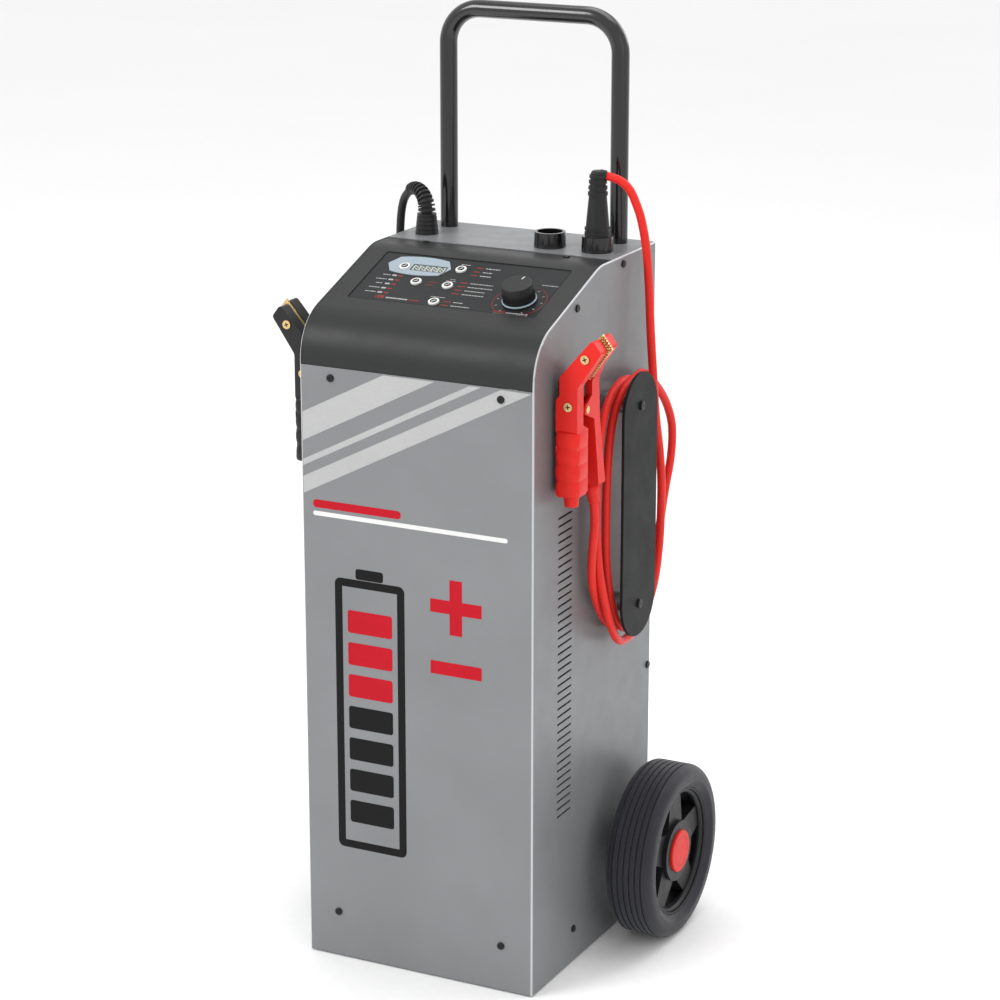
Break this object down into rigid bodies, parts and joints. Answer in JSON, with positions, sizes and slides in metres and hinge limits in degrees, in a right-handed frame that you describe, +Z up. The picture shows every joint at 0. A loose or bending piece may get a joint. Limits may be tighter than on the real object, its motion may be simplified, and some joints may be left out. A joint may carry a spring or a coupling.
{
  "type": "wheeled battery charger",
  "caption": "Wheeled workshop car battery charger with sloping control panel, bar handle, spoked wheels, coiled red and black cords and hanging battery clamps.",
  "frame": {"origin": "on the floor, under the middle of the whole machine's bounding box", "axes": "+Z up, the front faces -Y, +X to the viewer's right when facing the front"},
  "size_m": [0.4398, 0.3352, 1.046],
  "materials": {
    "shell": "silver-grey hammered powder coat, satin",
    "hood": "charcoal powder coat, satin",
    "overlay": "charcoal printed film, satin",
    "bezel": "blue-grey, satin",
    "window": "dark tinted",
    "button": "off-white, soft",
    "knob": "black, satin",
    "board": "green laminate",
    "handle": "black, glossy",
    "steel": "zinc plated",
    "galvanised": "galvanised sheet",
    "brass": "stamped, bright",
    "bronze": "dull bronze wire",
    "copper": "varnished copper wire",
    "core": "varnished steel laminations",
    "aluminium": "extruded, bare",
    "black_plastic": "black, satin",
    "red_plastic": "bright red, satin",
    "red_rubber": "bright red, soft",
    "black_rubber": "black, soft",
    "wheel": "black, fine texture",
    "tyre": "black, matte",
    "screw": "black, satin"
  },
  "bodies": {
    "charger": {"front_shell": "shell", "base_tray": "galvanised", "rear_panel": "shell", "top_plate": "shell", "control_hood": "hood", "control_overlay": "overlay", "display_bezel": "bezel", "display_window": "window", "potentiometer": "steel", "control_board": "board", "handle_tube": "handle", "handle_brackets": "steel", "output_sockets": "black_plastic", "socket_contacts": "brass", "plug_body": "black_plastic", "plug_sleeve": "black_rubber", "gland_base": "black_plastic", "gland_sleeve": "black_rubber", "axle": "steel", "axle_bearings": "black_plastic", "axle_clips": "steel", "wrap_plates": "hood", "wrap_posts": "steel", "clamp_pegs": "black_plastic", "red_lever_rear": "red_plastic", "black_lever_rear": "black_plastic", "contacts_rear": "brass", "clamp_pins": "steel", "clamp_springs": "bronze", "cord_red_lead": "red_rubber", "cord_red_coil": "red_rubber", "cord_red_tail": "red_rubber", "cord_black_lead": "black_rubber", "cord_black_coil": "black_rubber", "cord_black_tail": "black_rubber", "transformer_core": "core", "transformer_windings": "copper", "heat_sink": "aluminium", "fan_frame": "black_plastic", "mains_gland": "black_plastic", "rubber_feet": "black_rubber", "black_screws": "screw"},
    "wheel_left": {"wheel_rim_left": "wheel", "tyre_left": "tyre", "wheel_cap_left": "red_plastic"},
    "wheel_right": {"wheel_rim_right": "wheel", "tyre_right": "tyre", "wheel_cap_right": "red_plastic"},
    "knob": {"knob_cap": "knob", "knob_shaft": "steel"},
    "display_key": {"button_display": "button"},
    "start_key": {"button_start": "button"},
    "type_key": {"button_type": "button"},
    "rate_key": {"button_rate": "button"},
    "engine_key": {"button_engine": "button"},
    "red_jaw": {"red_lever_front": "red_plastic", "red_contact_front": "brass"},
    "black_jaw": {"black_lever_front": "black_plastic", "black_contact_front": "brass"},
    "fan": {"fan_rotor": "black_plastic"}
  },
  "joints": [
    {"name": "wheel_left_spin", "type": "hinge", "parent": "charger", "child": "wheel_left", "pos_m": [-0.19, 0.067, 0.1], "axis": [1, 0, 0], "continuous": true},
    {"name": "wheel_right_spin", "type": "hinge", "parent": "charger", "child": "wheel_right", "pos_m": [0.19, 0.067, 0.1], "axis": [1, 0, 0], "continuous": true},
    {"name": "knob_turn", "type": "hinge", "parent": "charger", "child": "knob", "pos_m": [0.0815, -0.08162, 0.75926], "axis": [0, -0.3371, 0.9415], "range_deg": [-130, 150]},
    {"name": "display_press", "type": "slide", "parent": "charger", "child": "display_key", "axis": [0, 0.3371, -0.9415], "range_m": [0, 0.0008], "stiffness_N_per_m": 1500, "springref_m": -0.0003},
    {"name": "start_press", "type": "slide", "parent": "charger", "child": "start_key", "axis": [0, 0.3371, -0.9415], "range_m": [0, 0.0008], "stiffness_N_per_m": 1500, "springref_m": -0.0003},
    {"name": "type_press", "type": "slide", "parent": "charger", "child": "type_key", "axis": [0, 0.3371, -0.9415], "range_m": [0, 0.0008], "stiffness_N_per_m": 1500, "springref_m": -0.0003},
    {"name": "rate_press", "type": "slide", "parent": "charger", "child": "rate_key", "axis": [0, 0.3371, -0.9415], "range_m": [0, 0.0008], "stiffness_N_per_m": 1500, "springref_m": -0.0003},
    {"name": "engine_press", "type": "slide", "parent": "charger", "child": "engine_key", "axis": [0, 0.3371, -0.9415], "range_m": [0, 0.0008], "stiffness_N_per_m": 1500, "springref_m": -0.0003},
    {"name": "red_jaw_open", "type": "hinge", "parent": "charger", "child": "red_jaw", "pos_m": [0.158, -0.101, 0.655], "axis": [1, 0, 0], "range_deg": [0, 16], "stiffness_Nm_per_rad": 12, "springref_deg": -8.59},
    {"name": "black_jaw_open", "type": "hinge", "parent": "charger", "child": "black_jaw", "pos_m": [-0.158, -0.101, 0.655], "axis": [1, 0, 0], "range_deg": [0, 16], "stiffness_Nm_per_rad": 12, "springref_deg": -8.59},
    {"name": "fan_spin", "type": "hinge", "parent": "charger", "child": "fan", "pos_m": [0, 0.12, 0.56], "axis": [0, 1, 0], "continuous": true}
  ]
}
